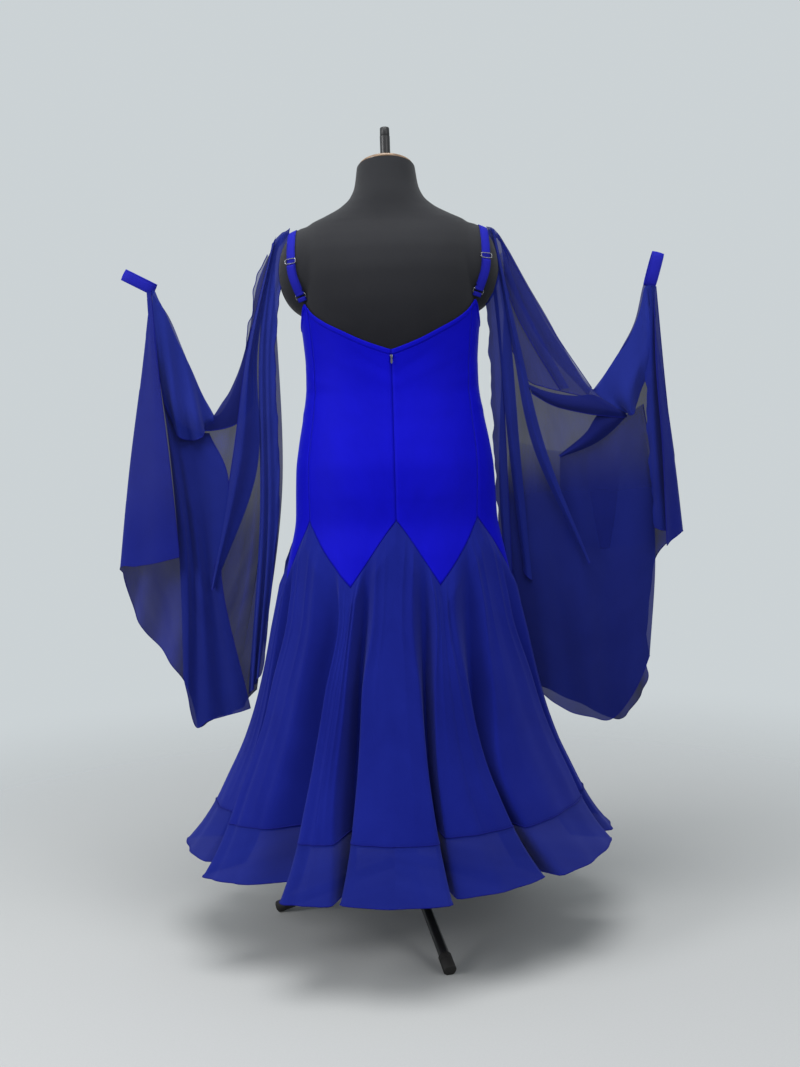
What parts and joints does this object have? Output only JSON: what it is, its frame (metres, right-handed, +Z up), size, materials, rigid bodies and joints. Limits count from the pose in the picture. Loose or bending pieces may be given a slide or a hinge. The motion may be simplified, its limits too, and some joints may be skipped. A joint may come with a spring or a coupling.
{
  "type": "dance dress on a dress form",
  "caption": "Flared dance dress with a pointed hip seam, buckled straps and floats held out to wrist loops, on a limbless dress form with a wooden neck cap and a tripod pole stand",
  "frame": {"origin": "on the floor under the pole, at the middle of the stand", "axes": "+Z up, dress front faces -Y, the wearer's left is +X"},
  "size_m": [1.033, 0.7589, 1.465],
  "materials": {
    "jersey": "smooth stretch jersey with a soft sheen, royal blue",
    "chiffon": "sheer crinkled chiffon, royal blue, darker where doubled",
    "form_cloth": "black knitted cover, matt",
    "black_metal": "black powder coat",
    "rubber": "black, matt",
    "wood": "clear varnish",
    "silver": "bright nickel plating"
  },
  "bodies": {
    "stand": {"stand_pole": "black_metal", "stand_hub": "black_metal", "stand_leg_1": "black_metal", "stand_leg_2": "black_metal", "stand_leg_3": "black_metal", "stand_foot_1": "rubber", "stand_foot_2": "rubber", "stand_foot_3": "rubber"},
    "collar": {"stand_collar": "black_metal", "collar_screw": "black_metal"},
    "figure": {"form_torso": "form_cloth", "form_neck_cap": "wood", "bodice_back_left": "jersey", "bodice_side_back_left": "jersey", "bodice_side_front_left": "jersey", "bodice_front": "jersey", "bodice_side_front_right": "jersey", "bodice_side_back_right": "jersey", "bodice_back_right": "jersey", "strap_left": "jersey", "strap_right": "jersey", "strap_end_left": "jersey", "strap_end_right": "jersey", "ring_tab_left": "jersey", "ring_tab_right": "jersey", "cuff_left": "jersey", "cuff_right": "jersey", "zip_tape": "jersey", "skirt_gore_1": "chiffon", "skirt_gore_2": "chiffon", "skirt_gore_3": "chiffon", "skirt_gore_4": "chiffon", "skirt_gore_5": "chiffon", "skirt_gore_6": "chiffon", "skirt_gore_7": "chiffon", "hem_band": "chiffon", "float_left": "chiffon", "float_right": "chiffon", "ring_left": "silver", "ring_right": "silver", "buckle_left": "silver", "buckle_right": "silver", "zip_slider": "silver"},
    "zip_pull": {"zip_pull": "silver"}
  },
  "joints": [
    {"name": "height_slide", "type": "slide", "parent": "stand", "child": "collar", "axis": [0, 0, 1], "range_m": [-0.05, 0.05]},
    {"name": "swivel", "type": "hinge", "parent": "collar", "child": "figure", "pos_m": [0, 0, 0.6], "axis": [0, 0, 1], "continuous": true},
    {"name": "pull_hinge", "type": "hinge", "parent": "figure", "child": "zip_pull", "pos_m": [0, 0.09957, 1.0505], "axis": [1, 0, 0], "range_deg": [0, 150]}
  ]
}
